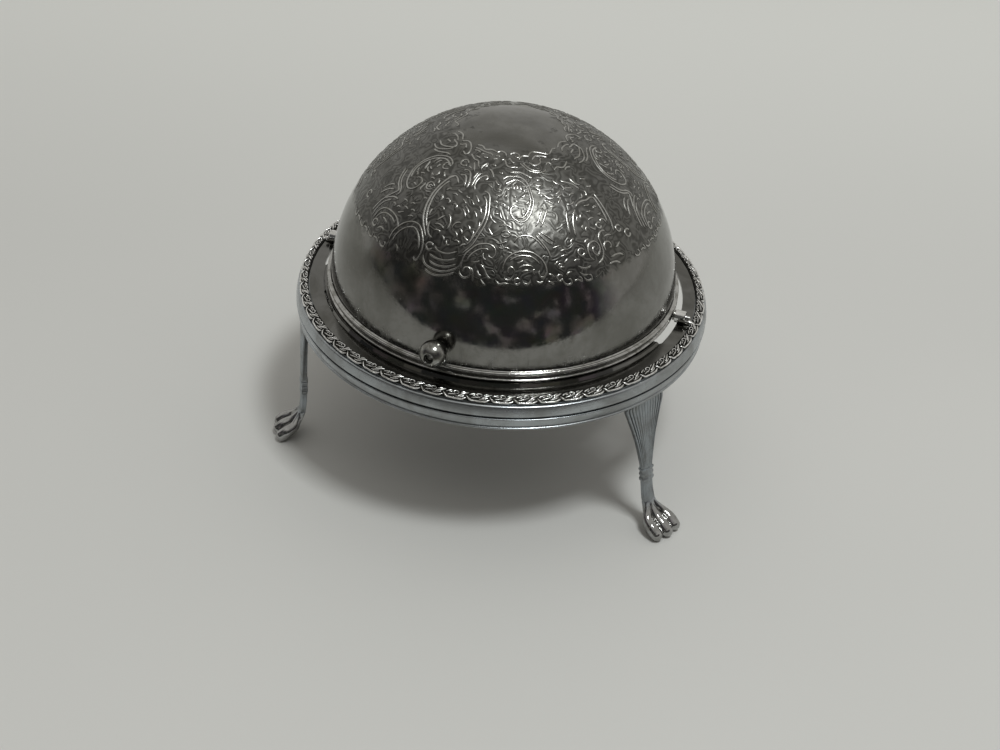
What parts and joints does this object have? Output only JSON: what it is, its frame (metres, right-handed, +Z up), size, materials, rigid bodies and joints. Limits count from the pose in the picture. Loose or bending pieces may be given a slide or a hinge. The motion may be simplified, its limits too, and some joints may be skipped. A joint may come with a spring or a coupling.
{
  "type": "revolving butter dish",
  "caption": "Footed butter dish with a domed engraved cover that swings back and down under its ring-shaped tray, over a lift-out glass liner.",
  "frame": {"origin": "on the table under the middle of the whole outline", "axes": "+Z up, -Y towards the knob, X along the pivot line"},
  "size_m": [0.1726, 0.1768, 0.1385],
  "materials": {
    "satin_silver": "satin silver plate, slightly greyed",
    "cast_silver": "cast and plated, dark in the hollows, worn bright on the high parts",
    "engraved_silver": "polished plate with engraved scrolls, tarnished in patches",
    "bright_silver": "polished plate",
    "steel": "plain turned metal",
    "clear_glass": "pressed clear glass"
  },
  "bodies": {
    "frame": {"rim_band": "satin_silver", "tray_plate": "satin_silver", "leaf_border": "cast_silver", "leg_front_right": "cast_silver", "leg_back": "cast_silver", "leg_front_left": "cast_silver", "pivot_lug_right": "cast_silver", "pivot_barrel_right": "bright_silver", "pivot_lug_left": "cast_silver", "pivot_barrel_left": "bright_silver"},
    "cover": {"cover_dome": "engraved_silver", "cover_rim_bead": "bright_silver", "pivot_pin_right": "steel", "pivot_washer_right": "bright_silver", "pivot_nut_right": "steel", "pivot_pin_left": "steel", "pivot_washer_left": "bright_silver", "pivot_nut_left": "steel", "knob_ball": "bright_silver", "knob_ferrule": "bright_silver", "knob_rivet": "steel", "knob_nut": "steel"},
    "liner": {"glass_liner": "clear_glass"}
  },
  "joints": [
    {"name": "cover_swing", "type": "hinge", "parent": "frame", "child": "cover", "pos_m": [-0.00426, -0.00693, 0.0707], "axis": [-1, 0, 0], "range_deg": [0, 160]},
    {"name": "liner_lift", "type": "slide", "parent": "frame", "child": "liner", "axis": [0, 0, 1], "range_m": [0, 0.015]}
  ]
}
